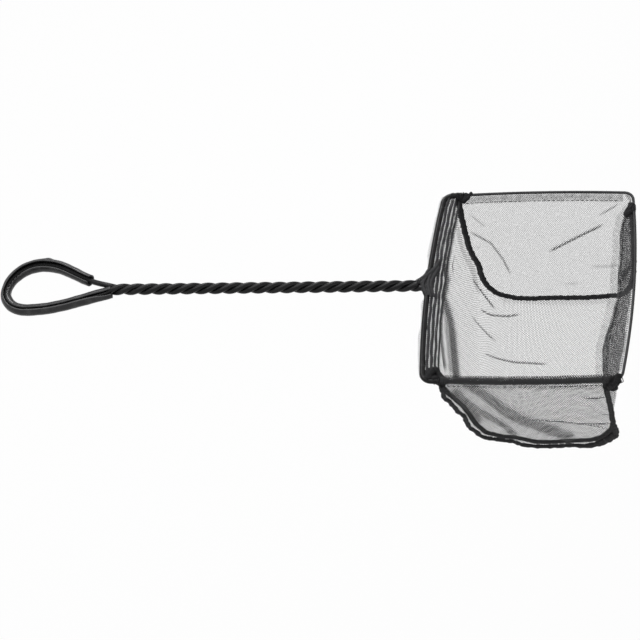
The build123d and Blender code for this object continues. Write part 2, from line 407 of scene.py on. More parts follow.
def rolling_frame(path):
    """Two directions square to a line that turn as little as they can along it."""
    tangents = headings(path)
    side = np.cross(tangents[0], UP if abs(tangents[0][2]) < 0.9 else ACROSS)
    sides = []
    for tangent in tangents:
        side = side - tangent * side.dot(tangent)
        side = side / np.linalg.norm(side)
        sides.append(side)
    sides = np.array(sides)
    return sides, np.cross(tangents, sides)


def level_frame(path):
    """The direction to the right of a level line, and the one above it."""
    tangents = headings(path)
    sides = unit(np.cross(tangents, UP))
    return sides, np.cross(sides, tangents)


def tube_rows(path, radius, sides, frame_of=rolling_frame, flatten=1.0):
    """Rings round a line; radius is one value or one for each point, flatten squeezes their height."""
    across, above = frame_of(path)
    turn = (np.arange(sides) * 2 * math.pi / sides)[:, None]
    ring = across[:, None] * np.cos(turn) + above[:, None] * np.sin(turn) * flatten
    return path[:, None] + ring * np.broadcast_to(radius, len(path))[:, None, None]


def section_rows(path, section):
    """A section, given as sideways and upward distances for each point, carried along a level line."""
    across, above = level_frame(path)
    section = np.broadcast_to(section, (len(path),) + np.shape(section)[-2:])
    return path[:, None] + across[:, None] * section[..., :1] + above[:, None] * section[..., 1:]


def grid_normals(rows):
    down, along = np.gradient(rows, axis=(0, 1))
    return unit(np.cross(down, along))


def ripple(places, wave, seed):
    """A smooth, uneven wave between about -1 and 1 over an array of distances."""
    mixer = np.random.default_rng(seed)
    total = np.zeros(np.shape(places))
    for octave in (1.0, 1.7, 2.9):
        total += np.sin(places * 2 * math.pi * octave / wave + mixer.uniform(0, 2 * math.pi)) / octave
    return total / 2.0


class Piece:
    """Gathers skinned grids of points into one mesh."""

    def __init__(self, name):
        self.name = name
        self.points, self.flat, self.gather, self.faces, self.corners = [], [], [], [], []

    def skin(self, rows, flat=None, closed=False, capped=False, gather=0.0):
        """Faces over rows of points; closed joins the last column to the first, capped fills the ends."""
        count, width = rows.shape[:2]
        flat = self.measured(rows, closed) if flat is None else flat
        wide = flat.shape[1]
        base = sum(len(points) for points in self.points)
        flat_base = sum(len(points) for points in self.flat)
        column = np.arange(width if closed else width - 1)
        self.faces += (self.squares(count, width, column, (column + 1) % width) + base).tolist()
        self.corners += (self.squares(count, wide, column, column + 1).reshape(-1) + flat_base).tolist()
        if capped:
            for row, ring in ((0, range(width)), (count - 1, range(width)[::-1])):
                self.faces.append([base + row * width + place for place in ring])
                self.corners += [flat_base + row * wide + place for place in ring]
        self.points.append(rows.reshape(-1, 3))
        self.flat.append(flat.reshape(-1, 2))
        self.gather.append(np.broadcast_to(gather, (count, width)).reshape(-1))

    def tube(self, path, radius, sides, gather=0.0):
        """A round tube along a line, with closed ends."""
        self.skin(tube_rows(path, radius, sides), closed=True, capped=True, gather=gather)

    @staticmethod
    def squares(count, width, column, after):
        """Corner numbers of the faces between rows of points, each from one column to the one after."""
        row = np.arange(count - 1)[:, None] * width
        corners = (row + column, row + width + column, row + width + after, row + after)
        return np.stack(corners, -1).reshape(-1, 4)

    @staticmethod
    def measured(rows, closed=False):
        """Places on the unrolled surface: distance round a row, and distance along the rows."""
        loop = np.concatenate((rows, rows[:, :1]), axis=1) if closed else rows
        round_it = np.linalg.norm(np.diff(loop, axis=1), axis=2).mean(axis=0)
        around = np.concatenate(([0.0], np.cumsum(round_it)))
        along = distance_along(rows.mean(axis=1))
        return paired(around[None, :], along[:, None])

    def make(self, material, slot, nodes=(), outward=True):
        """The finished object, on its body, in place of its nodes."""
        mesh = bpy.data.meshes.new(self.name)
        mesh.from_pydata((np.concatenate(self.points) * MM).tolist(), [], self.faces)
        layer = mesh.uv_layers.new(name=FLAT_MAP)
        flat = np.concatenate(self.flat) * MM
        layer.uv.foreach_set("vector", flat[self.corners].astype(np.float32).ravel())
        gather = mesh.attributes.new(GATHER, "FLOAT", "POINT")
        gather.data.foreach_set("value", np.concatenate(self.gather).astype(np.float32))
        mesh.polygons.foreach_set("use_smooth", np.ones(len(mesh.polygons), bool))
        if outward:
            work = bmesh.new()
            work.from_mesh(mesh)
            bmesh.ops.recalc_face_normals(work, faces=work.faces)
            work.to_mesh(mesh)
            work.free()
        mesh.update()
        piece = bpy.data.objects.new(self.name, mesh)
        bpy.context.collection.objects.link(piece)
        piece.data.materials.append(material)
        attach(piece, BODY)
        if nodes:
            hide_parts(*nodes)
        return piece


# Places taken from the frame

def node_box(node):
    low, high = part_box(node)
    return np.array(low) / MM, np.array(high) / MM


class Rim:
    """The rim's four bowed sides and the twist that it grows from."""

    def __init__(self, wire):
        self.strand = mm(wire.strand_diameter)
        self.wire = mm(wire.rim_diameter)
        rim_high = node_box("rim_wire")[1]
        twist_low, twist_high = node_box("far_strand")
        self.tip_x = rim_high[0] - self.wire / 2
        self.half_width = rim_high[1] - self.wire / 2
        self.x = self.tip_x - RIM_LENGTH
        self.twist_radius = twist_high[2] - self.strand / 2
        round_it = 2 * math.pi * self.twist_radius
        # The frame's strands end square to their slope, and so reach past the twist's ends
        overhang = 0.0
        for _ in range(4):
            frame_pitch = (twist_high[0] - twist_low[0] - 2 * overhang) / FRAME_TWIST_TURNS
            overhang = self.strand / 2 * math.sin(math.atan2(round_it, frame_pitch))
        self.twist_end = twist_high[0] - overhang
        self.root = twist_low[0] + overhang
        self.twist_long = self.twist_end - self.root
        self.pitch = self.twist_long / wire.twist_turns
        # Three strands that touch, with their coats a little pressed together
        self.lay_radius = LAY_PRESS * self.strand / math.sqrt(3)
        self.slope = math.atan2(2 * math.pi * self.lay_radius, self.pitch)
        side_y = self.half_width - SIDE_BOW
        end_y = side_y - RIM_CORNER
        side_start = self.x + HANDLE_BOW + RIM_CORNER
        side_end = self.tip_x - TIP_BOW - RIM_CORNER
        self.sides = {
            "handle": ((self.x + HANDLE_BOW, -end_y), (self.x + HANDLE_BOW, end_y), HANDLE_BOW),
            "far": ((side_start, side_y), (side_end, side_y), SIDE_BOW),
            "tip": ((self.tip_x - TIP_BOW, end_y), (self.tip_x - TIP_BOW, -end_y), TIP_BOW),
            "near": ((side_end, -side_y), (side_start, -side_y), SIDE_BOW),
        }

    def length(self, name):
        return math.dist(*self.sides[name][:2])

    def line(self, name, first=0.0, last=None, step=1.0):
        """Points on one side between two distances from its start, going clockwise from above."""
        start, end, bow = self.sides[name]
        long = self.length(name)
        last = long if last is None else last
        t = np.linspace(first / long, last / long, max(2, round(abs(last - first) / step) + 1))[:, None]
        start, end = np.array(start + (0.0,)), np.array(end + (0.0,))
        outward = np.cross(UP, unit(end - start))
        return start + (end - start) * t + outward * bow * 4 * t * (1 - t)

    def corner(self, before, after, count=14):
        """The rounded corner between two sides."""
        arriving, leaving = self.line(before), self.line(after)
        return curve_between(arriving[-1], unit(arriving[-1] - arriving[-2]), leaving[0],
                             unit(leaving[1] - leaving[0]), count, 1.2)


def twist_place(rim, lay, back=0.0):
    """A strand's place in the twist, some way back from the neck, and its heading towards the loop."""
    turn = lay + 2 * math.pi * back / rim.pitch
    cos, sin = math.cos(rim.slope), math.sin(rim.slope)
    around = np.array((0.0, math.cos(turn), math.sin(turn)))
    place = rim.lay_radius * around + (rim.twist_end - back) * ALONG
    return place, np.array((-cos, -sin * around[2], sin * around[1]))


def coated_arm(rim, neck, side, lay):
    """A rim arm's line from the end of its coat on the rim to the twist; side is 1 for far, -1 for near."""
    spread, before_rim = neck
    middle = rim.length("handle") / 2
    coat_end = rim.line("far", COAT_PAST_CORNER, 0.0)
    corner = rim.corner("handle", "far")[::-1]
    handle = rim.line("handle", rim.length("handle"), middle + spread)
    fork = np.array((rim.x - before_rim, rim.twist_radius, 0.0))
    flare = curve_between(handle[-1], unit(handle[-1] - handle[-2]), fork, -ALONG, count=18, fullness=1.25)
    arm = chain(coat_end, corner, handle, flare) * np.array((1, side, 1))
    return chain(arm, curve_between(arm[-1], -ALONG, *twist_place(rim, lay), count=10))


def twist_strand(rim, lay, first, last, steps_per_turn=44):
    """A strand's line through the twist, between two distances back from the neck."""
    back = np.linspace(first, last, round((last - first) / rim.pitch * steps_per_turn))
    return np.array([twist_place(rim, lay, each)[0] for each in back])


def loop_line(rim, finish, first=0.0, last=1.0):
    """The loop's line, from the twist's far side round to a place and heading on its near side."""
    stations = [twist_place(rim, FAR_LAY, rim.twist_long)]
    for back, sideways, heading in LOOP_STATIONS:
        angle = math.radians(heading)
        stations.append(((rim.root + back, sideways, 0.0), (math.cos(angle), math.sin(angle), 0.0)))
    stations.append(finish)
    line = chain(*[curve_between(*a, *b, count=40) for a, b in zip(stations, stations[1:])])
    line = even_steps(line, step=0.8)
    return line[round(first * (len(line) - 1)):round(last * (len(line) - 1)) + 1]


# Viewing angle

def camera_axes():
    """Right, up and back of the camera."""
    back = np.array((math.sin(AZIMUTH) * math.cos(ELEVATION), -math.cos(AZIMUTH) * math.cos(ELEVATION),
                     math.sin(ELEVATION)))
    level = np.array((math.cos(AZIMUTH), math.sin(AZIMUTH), 0.0))
    above = np.cross(back, level)
    right = math.cos(ROLL) * level - math.sin(ROLL) * above
    return right, np.cross(back, right), back


def photo_pixels(rim, points):
    """Where points of the net lie in the photograph."""
    right, above, back = camera_axes()
    from_target = points - np.array((rim.x - TARGET_BEFORE_RIM, 0.0, 0.0))
    scale = PIXELS_PER_MM * DISTANCE / (DISTANCE - from_target @ back)
    return paired(TARGET_PIXEL[0] + from_target @ right * scale,
                  TARGET_PIXEL[1] - from_target @ above * scale)


def crease_depths(pixels, facing, creases):
    """How strongly each point lies in a crease, from 0 to 1; facing is 1 where the cloth faces the view."""
    total = np.zeros(pixels.shape[:-1])
    for line, half_width, strength in creases:
        line = np.array(line, float)
        lengths = np.linalg.norm(np.diff(line, axis=0), axis=1)
        whole, before = lengths.sum(), 0.0
        nearest = np.full(total.shape, np.inf)
        place = np.zeros(total.shape)
        for start, end, length in zip(line, line[1:], lengths):
            along = ((pixels - start) @ (end - start) / length**2).clip(0, 1)
            away = np.linalg.norm(pixels - start - along[..., None] * (end - start), axis=-1)
            closer = away < nearest
            nearest = np.where(closer, away, nearest)
            place = np.where(closer, (before + along * length) / whole, place)
            before += length
        fade = held(np.minimum(place, 1 - place) * whole / CREASE_FADE)
        band = 1 / (1 + (nearest / (half_width * facing)) ** 6)
        total = np.maximum(total, strength * band * fade)
    return total


# Shader groups and materials

def set_inputs(tree, node, values):
    """Sets a node's inputs: a socket is linked, and anything else becomes the input's own value."""
    for socket, value in values.items():
        if isinstance(value, bpy.types.NodeSocket):
            tree.links.new(value, node.inputs[socket])
        else:
            node.inputs[socket].default_value = value


def add_node(tree, kind, values=None, **settings):
    node = tree.nodes.new(kind)
    for name, value in settings.items():
        setattr(node, name, value)
    set_inputs(tree, node, values or {})
    return node


def math_node(tree, operation, first, second=0.0):
    return add_node(tree, "ShaderNodeMath", {0: first, 1: second}, operation=operation).outputs[0]


def noise(tree, place, scale, detail):
    values = {"Vector": place, "Scale": scale, "Detail": detail}
    return add_node(tree, "ShaderNodeTexNoise", values).outputs["Fac"]


def drawn_lines(tree, place, across, along, detail):
    """Noise drawn out into lines along a piece."""
    drawn = add_node(tree, "ShaderNodeMapping", {"Vector": place, "Scale": (across, along, 1.0)})
    return noise(tree, drawn.outputs[0], 1.0, detail)


def over_range(tree, value, low, high, to_low=0.0, to_high=1.0):
    """A value moved from one range to another."""
    values = {0: value, 1: low, 2: high, 3: to_low, 4: to_high}
    return add_node(tree, "ShaderNodeMapRange", values).outputs[0]


def colour_between(tree, share, first, second):
    return add_node(tree, "ShaderNodeMix", {0: share, 6: first, 7: second}, data_type="RGBA").outputs[2]


def gathered(tree):
    return add_node(tree, "ShaderNodeAttribute", attribute_name=GATHER).outputs["Fac"]


def diamond_mesh(group, given):
    """Yarn and holes of a knitted diamond mesh; gathered cloth has wider yarn for its holes."""
    calc = partial(math_node, group)
    x, y = add_node(group, "ShaderNodeSeparateXYZ", {0: given["Place"]}).outputs[:2]
    drift = calc("MULTIPLY", calc("SUBTRACT", noise(group, given["Place"], 90.0, 2.0), 0.5), MESH_DRIFT)
    rising = calc("ADD", calc("DIVIDE", calc("ADD", x, y), given["Pitch"]), drift)
    falling = calc("ADD", calc("DIVIDE", calc("SUBTRACT", x, y), given["Pitch"]), drift)
    share = calc("ADD", given["Thread Share"], calc("MULTIPLY", given["Gather"], GATHERED_YARN))
    limit = calc("SUBTRACT", 0.5, calc("MULTIPLY", share, 0.5))
    yarns, heights = [], []
    for line, other in ((rising, falling), (falling, rising)):
        sway = calc("MULTIPLY", calc("SINE", calc("MULTIPLY", other, 2 * math.pi)), MESH_SWAY)
        cell = calc("FRACT", calc("ADD", line, sway))
        off_middle = calc("ABSOLUTE", calc("SUBTRACT", cell, 0.5))
        yarns.append(calc("GREATER_THAN", off_middle, limit))
        heights.append(calc("SUBTRACT", off_middle, limit))
    return {"Yarn": calc("MAXIMUM", *yarns), "Height": calc("MAXIMUM", *heights)}


def vinyl_skin(group, given):
    """Colour, roughness and height of extruded vinyl: drawn lines along it, specks and handling dust."""
    calc = partial(math_node, group)
    lines = drawn_lines(group, given["Place"], 2600.0, 60.0, 3.0)
    cloud = noise(group, given["Place"], 160.0, 5.0)
    specks = noise(group, given["Place"], 2400.0, 2.0)
    dusty = calc("MULTIPLY", over_range(group, cloud, 0.5, 0.78), given["Dust"])
    uneven = calc("MULTIPLY", calc("SUBTRACT", cloud, 0.5), 0.30)
    return {"Colour": colour_between(group, dusty, given["Colour"], given["Dust Colour"]),
            "Roughness": calc("ADD", given["Roughness"], uneven),
            "Height": calc("ADD", calc("MULTIPLY", lines, 0.7), calc("MULTIPLY", specks, 0.3))}


def yarn_lay(group, given):
    """Slanting plies of a twisted thread, with lighter lint between them."""
    calc = partial(math_node, group)
    x, y = add_node(group, "ShaderNodeSeparateXYZ", {0: given["Place"]}).outputs[:2]
    slant = calc("DIVIDE", calc("ADD", x, y), given["Ply"])
    round_ply = calc("ABSOLUTE", calc("SINE", calc("MULTIPLY", slant, math.pi)))
    fuzz = noise(group, given["Place"], 1500.0, 4.0)
    lint = over_range(group, fuzz, 0.52, 0.75)
    return {"Colour": colour_between(group, lint, given["Colour"], given["Lint Colour"]),
            "Height": calc("ADD", round_ply, calc("MULTIPLY", fuzz, 0.6))}


FLOAT = "NodeSocketFloat"
VECTOR = "NodeSocketVector"
COLOUR = "NodeSocketColor"
# Shader groups: what builds each, its inputs with their first values, and its outputs
SHADER_GROUPS = {
    "Diamond Mesh": (
        diamond_mesh,
        (("Place", VECTOR, None), ("Pitch", FLOAT, 0.00135), ("Thread Share", FLOAT, 0.18),
         ("Gather", FLOAT, 0.0)),
        (("Yarn", FLOAT), ("Height", FLOAT)),
    ),
    "Vinyl Skin": (
        vinyl_skin,
        (("Place", VECTOR, None), ("Colour", COLOUR, (0.01, 0.01, 0.01, 1.0)),
         ("Dust Colour", COLOUR, (0.10, 0.10, 0.10, 1.0)), ("Dust", FLOAT, 0.3), ("Roughness", FLOAT, 0.35)),
        (("Colour", COLOUR), ("Roughness", FLOAT), ("Height", FLOAT)),
    ),
    "Yarn Lay": (
        yarn_lay,
        (("Place", VECTOR, None), ("Ply", FLOAT, 0.0006), ("Colour", COLOUR, (0.01, 0.01, 0.01, 1.0)),
         ("Lint Colour", COLOUR, (0.06, 0.06, 0.06, 1.0))),
        (("Colour", COLOUR), ("Height", FLOAT)),
    ),
}


def make_group(name):
    """A shader group with its named sockets."""
    build, inputs, outputs = SHADER_GROUPS[name]
    group = bpy.data.node_groups.new(name, "ShaderNodeTree")
    for socket, kind, default in inputs:
        made = group.interface.new_socket(socket, in_out="INPUT", socket_type=kind)
        if default is not None:
            made.default_value = default
    for socket, kind in outputs:
        group.interface.new_socket(socket, in_out="OUTPUT", socket_type=kind)
    given = group.nodes.new("NodeGroupInput")
    set_inputs(group, group.nodes.new("NodeGroupOutput"), build(group, given.outputs))
    return group


def add_group(tree, name, values):
    """Outputs of a shader group, which is made at its first use."""
    group = bpy.data.node_groups.get(name) or make_group(name)
    return add_node(tree, "ShaderNodeGroup", values, node_tree=group).outputs


def opaque(colour, times=1.0):
    return (*(part * times for part in colour), 1.0)


def start_material(name):
    """A material with its shader, and the place on the uncut surface as a vector."""
    material = bpy.data.materials.new(name)
    material.use_nodes = True
    tree = material.node_tree
    shader = tree.nodes["Principled BSDF"]
    place = add_node(tree, "ShaderNodeUVMap", uv_map=FLAT_MAP).outputs[0]
    return material, tree, shader, place


def add_bump(tree, shader, height, strength, distance):
    bump = add_node(tree, "ShaderNodeBump", {"Strength": strength, "Distance": distance, "Height": height})
    tree.links.new(bump.outputs[0], shader.inputs["Normal"])


def vinyl_material(name, colour, dust, roughness, specular):
    material, tree, shader, place = start_material(name)
    skin = add_group(tree, "Vinyl Skin", {"Place": place, "Colour": opaque(colour), "Dust": dust,
                                          "Roughness": roughness})
    dull = math_node(tree, "ADD", skin["Roughness"], math_node(tree, "MULTIPLY", gathered(tree), 0.5))
    set_inputs(tree, shader, {"Base Color": skin["Colour"], "Roughness": dull,
                              "Specular IOR Level": specular})
    add_bump(tree, shader, skin["Height"], 0.25, 0.0001)
    return material


def steel_material(name, colour):
    material, tree, shader, place = start_material(name)
    lines = drawn_lines(tree, place, 3000.0, 40.0, 4.0)
    set_inputs(tree, shader, {"Base Color": colour_between(tree, lines, opaque(colour), opaque(colour, 0.4)),
                              "Roughness": over_range(tree, lines, 0.0, 1.0, 0.35, 0.6), "Metallic": 0.8})
    add_bump(tree, shader, lines, 0.2, 0.00005)
    return material


def netting_material(name, bag, share):
    material, tree, shader, place = start_material(name)
    mesh = add_group(tree, "Diamond Mesh", {"Place": place, "Pitch": bag.mesh_pitch, "Thread Share": share,
                                            "Gather": gathered(tree)})
    tones = opaque(bag.netting_colour), opaque(bag.netting_colour, 2.6)
    set_inputs(tree, shader, {"Base Color": colour_between(tree, noise(tree, place, 700.0, 3.0), *tones),
                              "Alpha": mesh["Yarn"], "Roughness": 0.62, "Specular IOR Level": 0.25})
    add_bump(tree, shader, mesh["Height"], 0.6, 0.0001)
    return material


def yarn_material(name, colour, ply):
    material, tree, shader, place = start_material(name)
    lay = add_group(tree, "Yarn Lay", {"Place": place, "Ply": ply, "Colour": opaque(colour),
                                       "Lint Colour": opaque(colour, 4)})
    set_inputs(tree, shader, {"Base Color": lay["Colour"], "Roughness": 0.7, "Specular IOR Level": 0.2})
    add_bump(tree, shader, lay["Height"], 0.8, 0.0002)
    return material


def shared_material(name, make, *values):
    """The material of that name, made at its first use."""
    return bpy.data.materials.get(name) or make(name, *values)


def hem_cloth(bag):
    return shared_material("turned_hem_cloth", netting_material, bag, bag.thread_share * 1.1)


def sewing_thread(bag):
    return shared_material("black_sewing_thread", yarn_material, bag.thread_colour, 0.0003)


# Wire

class FISHNET_OT_coated_wire(bpy.types.Operator):
    """Make the coated wire: both rim arms, the twisted handle and the hanging loop"""

    bl_idname = "fish_net.coated_wire"
    bl_label = "Coated Wire"

    def execute(self, context):
        wire = net(context).wire
        rim = Rim(wire)
        place, heading = twist_place(rim, RETURN_LAY, rim.twist_long)
        runs = (
            chain(coated_arm(rim, FAR_NECK, 1, FAR_LAY), twist_strand(rim, FAR_LAY, 0.0, rim.twist_long),
                  loop_line(rim, (place, -heading)),
                  twist_strand(rim, RETURN_LAY, -RETURN_END, rim.twist_long)[::-1]),
            chain(coated_arm(rim, NEAR_NECK, -1, NEAR_LAY),
                  twist_strand(rim, NEAR_LAY, 0.0, rim.twist_long + NEAR_END)),
        )
        piece = Piece("coated_wire")
        for run in runs:
            path = even_steps(run, step=0.7)
            radius = rim.strand / 2 * (1 + 0.012 * ripple(distance_along(path), 23.0, 4))
            sleeved = held((rim.root - SLEEVE_MOUTH - path[:, 0]) / SLEEVE_MOUTH_EASE)[:, None]
            piece.tube(path, radius, 20, sleeved)
        coat = vinyl_material("coated_vinyl", wire.coat_colour, dust=0.14, roughness=0.24, specular=0.16)
        piece.make(coat, "strand_coat",
                   ("far_strand", "near_strand", "loop_wire", "far_rim_arm", "near_rim_arm"))
        return {"FINISHED"}


class FISHNET_OT_rim_wire(bpy.types.Operator):
    """Make the bare wire that carries the hems round the far, tip and near sides"""

    bl_idname = "fish_net.rim_wire"
    bl_label = "Rim Wire"

    def execute(self, context):
        wire = net(context).wire
        rim = Rim(wire)
        seat = COAT_PAST_CORNER - RIM_SEAT
        far = rim.line("far", seat)
        near = rim.line("near", 0.0, rim.length("near") - seat)
        path = chain(far, rim.corner("far", "tip"), rim.line("tip"), rim.corner("tip", "near"), near)
        piece = Piece("bare_rim_wire")
        piece.tube(even_steps(path, step=1.0), rim.wire / 2, 14)
        piece.make(steel_material("dark_drawn_steel", wire.steel_colour), "rim_steel", ("rim_wire",))
        return {"FINISHED"}


def bell(places, middle, width):
    return np.exp(-((places - middle) / width) ** 2)


class FISHNET_OT_grip_sleeve(bpy.types.Operator):
    """Make the slit vinyl sleeve on the loop, open along the top and torn at the tight bend"""

    bl_idname = "fish_net.grip_sleeve"
    bl_label = "Grip Sleeve"

    def execute(self, context):
        settings = net(context)
        rim, sleeve = Rim(settings.wire), settings.sleeve
        beside_twist = np.array((rim.root, -rim.twist_radius, 0.0))
        path = loop_line(rim, (beside_twist, ALONG), *SLEEVE_SPAN)
        rows = self.section(path, mm(sleeve.width) / 2, mm(sleeve.wall))
        inside = np.arange(rows.shape[1]) >= rows.shape[1] // 2
        piece = Piece("slit_grip_sleeve")
        piece.skin(rows, closed=True, capped=True, gather=inside.astype(float))
        vinyl = vinyl_material("slit_sleeve_vinyl", sleeve.colour, dust=0.4, roughness=0.24, specular=0.34)
        piece.make(vinyl, "sleeve_vinyl", ("grip_sleeve",))
        return {"FINISHED"}

    @staticmethod
    def section(path, half_width, wall):
        """A C-shaped ring at each point: the outer face one way round, the inner face back."""
        place = np.linspace(0, 1, len(path))
        bend = place[np.argmin(path[:, 0])]
        crown = place[np.argmax(path[:, 1])]
        lower = held((place - bend + 0.10) / 0.22)
        mouth = bell(place, 1.0, 0.075)
        torn = bell(place, bend - 0.03, 0.06) * (0.45 + 0.9 * ripple(place, 0.021, 9))
        slit = np.radians(-22 + 42 * lower * lower * (3 - 2 * lower))
        first = slit + np.radians(25 - 17 * lower + 22 * mouth)
        last = slit + 2 * math.pi - np.radians(25 - 17 * lower + 8 * mouth + 32 * torn.clip(0, None))
        share = np.linspace(0, 1, 22)
        turn = first[:, None] + (last - first)[:, None] * share
        radius = half_width * (1 + 0.16 * bell(place, crown, 0.16) - 0.10 * bell(place, bend, 0.06)
                               + 0.22 * bell(place, 1.0, 0.09))
        kink = 1.1 * bell(place, crown - 0.02, 0.018)[:, None] * np.cos(turn - math.pi / 2).clip(0, 1) ** 3
        rough = 0.10 * ripple(place[:, None] * 110 + 9 * share[None, :], 9.0, 3)
        outer = radius[:, None] + kink + rough
        lip = np.minimum(1.0, np.minimum(share, 1 - share) * 10)[None, :]
        inner = outer - wall * (0.45 + 0.55 * lip)
        turns = np.concatenate((turn, turn[:, ::-1]), axis=1)
        reach = np.concatenate((outer, inner[:, ::-1]), axis=1)
        squeeze = 1 - 0.3 * bell(place, 1.0, 0.08)[:, None]
        return section_rows(path, paired(reach * np.sin(turns), reach * np.cos(turns) * squeeze))


# Bag

def seam_lines(rim, count=320):
    """Far and near seams with matching points, from the handle down, along the floor and up the tip."""
    lines = []
    mean_knots = (distance_along(np.array(FAR_SEAM)) + distance_along(np.array(NEAR_SEAM))) / 2
    at = np.linspace(0, mean_knots[-1], count)
    for side, points in ((1, FAR_SEAM), (-1, NEAR_SEAM)):
        line = curve_through(points, at, mean_knots)
        lean = SIDE_INSET * np.maximum(0, line[:, 1] - HEM_DROP) / (BAG_DEPTH - HEM_DROP)
        sideways = side * (rim.half_width - SIDE_BOW / 2 - SEAM_INSET - lean)
        lines.append(np.stack((rim.x + line[:, 0], sideways, -line[:, 1]), axis=1))
    return lines[0], lines[1], at


def seam_course(line, side):
    """A seam's uneven line, the way out of the bag along its panel, and the outer edge of its cloth."""
    along = distance_along(line)
    tangents = headings(line)
    outward = unit(np.stack((-tangents[:, 2], np.zeros(len(line)), tangents[:, 0]), axis=1))
    centre = np.array((line[:, 0].mean(), 0, -30.0))
    outward *= np.sign(np.einsum("ij,ij->i", outward, line * np.array((1, 0, 1)) - centre))[:, None]
    core = line + outward * (0.25 * ripple(along, 11.0, 30 + side))[:, None]
    share = along / along[-1]
    allowance = 0.5 + 4.4 * held(share / 0.07) * held((0.74 - share) / 0.06)
    edge = core + outward * (allowance * (1 + 0.25 * ripple(along, 33.0, 35)))[:, None]
    return core, outward, edge


def side_netting_rows(rim, seam, side, rows=90):
    """A side panel: lines from the hem down to the seam, with each point's place on the flat cloth."""
    reach = distance_along(seam) / distance_along(seam)[-1]
    hem_x = seam[0, 0] + (seam[-1, 0] - seam[0, 0]) * reach
    middle = (hem_x - hem_x.mean()) / (RIM_LENGTH / 2)
    hem_y = side * (rim.half_width - SIDE_BOW * middle**2)
    hem = np.stack((hem_x, hem_y, np.full(len(seam), -PANEL_TOP)), axis=1)
    hem[0], hem[-1] = seam[0], seam[-1]
    down = np.linspace(0, 1, rows)[:, None, None]
    grid = hem[None] + (seam - hem)[None] * down
    if side < 0:
        edge = seam_course(seam, side)[2]
        out = np.linspace(0.2, 1, ALLOWANCE_ROWS)[:, None, None]
        grid = np.concatenate((grid, seam + (edge - seam) * out))
    below = np.hypot(grid[..., 2], grid[..., 1] - side * rim.half_width)
    return grid, paired(grid[..., 0] - rim.x, below)


def pressed(grid, creases, rim, base_gather=0.0):
    """The grid pushed out along its creases, and how gathered the cloth is at each point."""
    normals = grid_normals(grid)
    facing = np.clip(np.abs(normals @ camera_axes()[2]) * 1.3, 0.15, 1)
    depth = crease_depths(photo_pixels(rim, grid), facing, creases)
    return grid + normals * (CREASE_HEIGHT * depth)[..., None], held(depth + base_gather)


def gusset_rows(rim, far, near, at, columns=190):
    """The long strip that is handle wall, floor and tip wall: from the far seam to the near seam."""
    w = np.linspace(0, 1, columns)[None, :, None]
    grid = far[:, None] + (near - far)[:, None] * w
    middle = (4 * w * (1 - w))[..., 0]
    depth = -grid[..., 2]
    top = held(1 - depth / SLACK_DEPTH)
    from_start = at[:, None] / at[-1]
    near_share = w[0, :, 0]
    handle_part = from_start < HANDLE_WALL_SLACK_END
    tip_part = from_start > TIP_WALL_SLACK_START
    grid[..., 0] -= np.where(handle_part, HANDLE_WALL_SLACK * middle * top, 0)
    sag = curve_through(TIP_WALL_SAG, near_share, [share for share, _ in TIP_WALL_SAG])[:, 1]
    sag = sag * held(depth / 10) * held(1.4 - depth / 60)
    grid[..., 0] -= np.where(tip_part, sag, 0)
    tip = rim.line("tip")[::-1]
    off_seams = held(np.minimum(near_share, 1 - near_share) / 0.06)
    into_hem = np.where(tip_part, held(1 - depth / TIP_HEM_DROP), 0) * off_seams
    grid[..., 0] += into_hem * (np.interp(grid[..., 1], tip[:, 1], tip[:, 0]) - grid[..., 0])
    floor_part = held((depth - 60) / 18)
    grid[..., 2] -= FLOOR_SLACK * middle * floor_part
    across = np.linalg.norm(np.diff(grid, axis=1), axis=2).mean(axis=0)
    flat_w = np.concatenate(([0.0], np.cumsum(across)))
    return grid, paired(flat_w[None, :], at[:, None])


def wall_line(wall, depth):
    """The line on the tip wall at one depth, from the far seam to the near one."""
    top_rows = wall[-60:][::-1]
    return np.array([[np.interp(depth, -column[:, 2], column[:, axis]) for axis in range(3)]
                     for column in top_rows.transpose(1, 0, 2)])


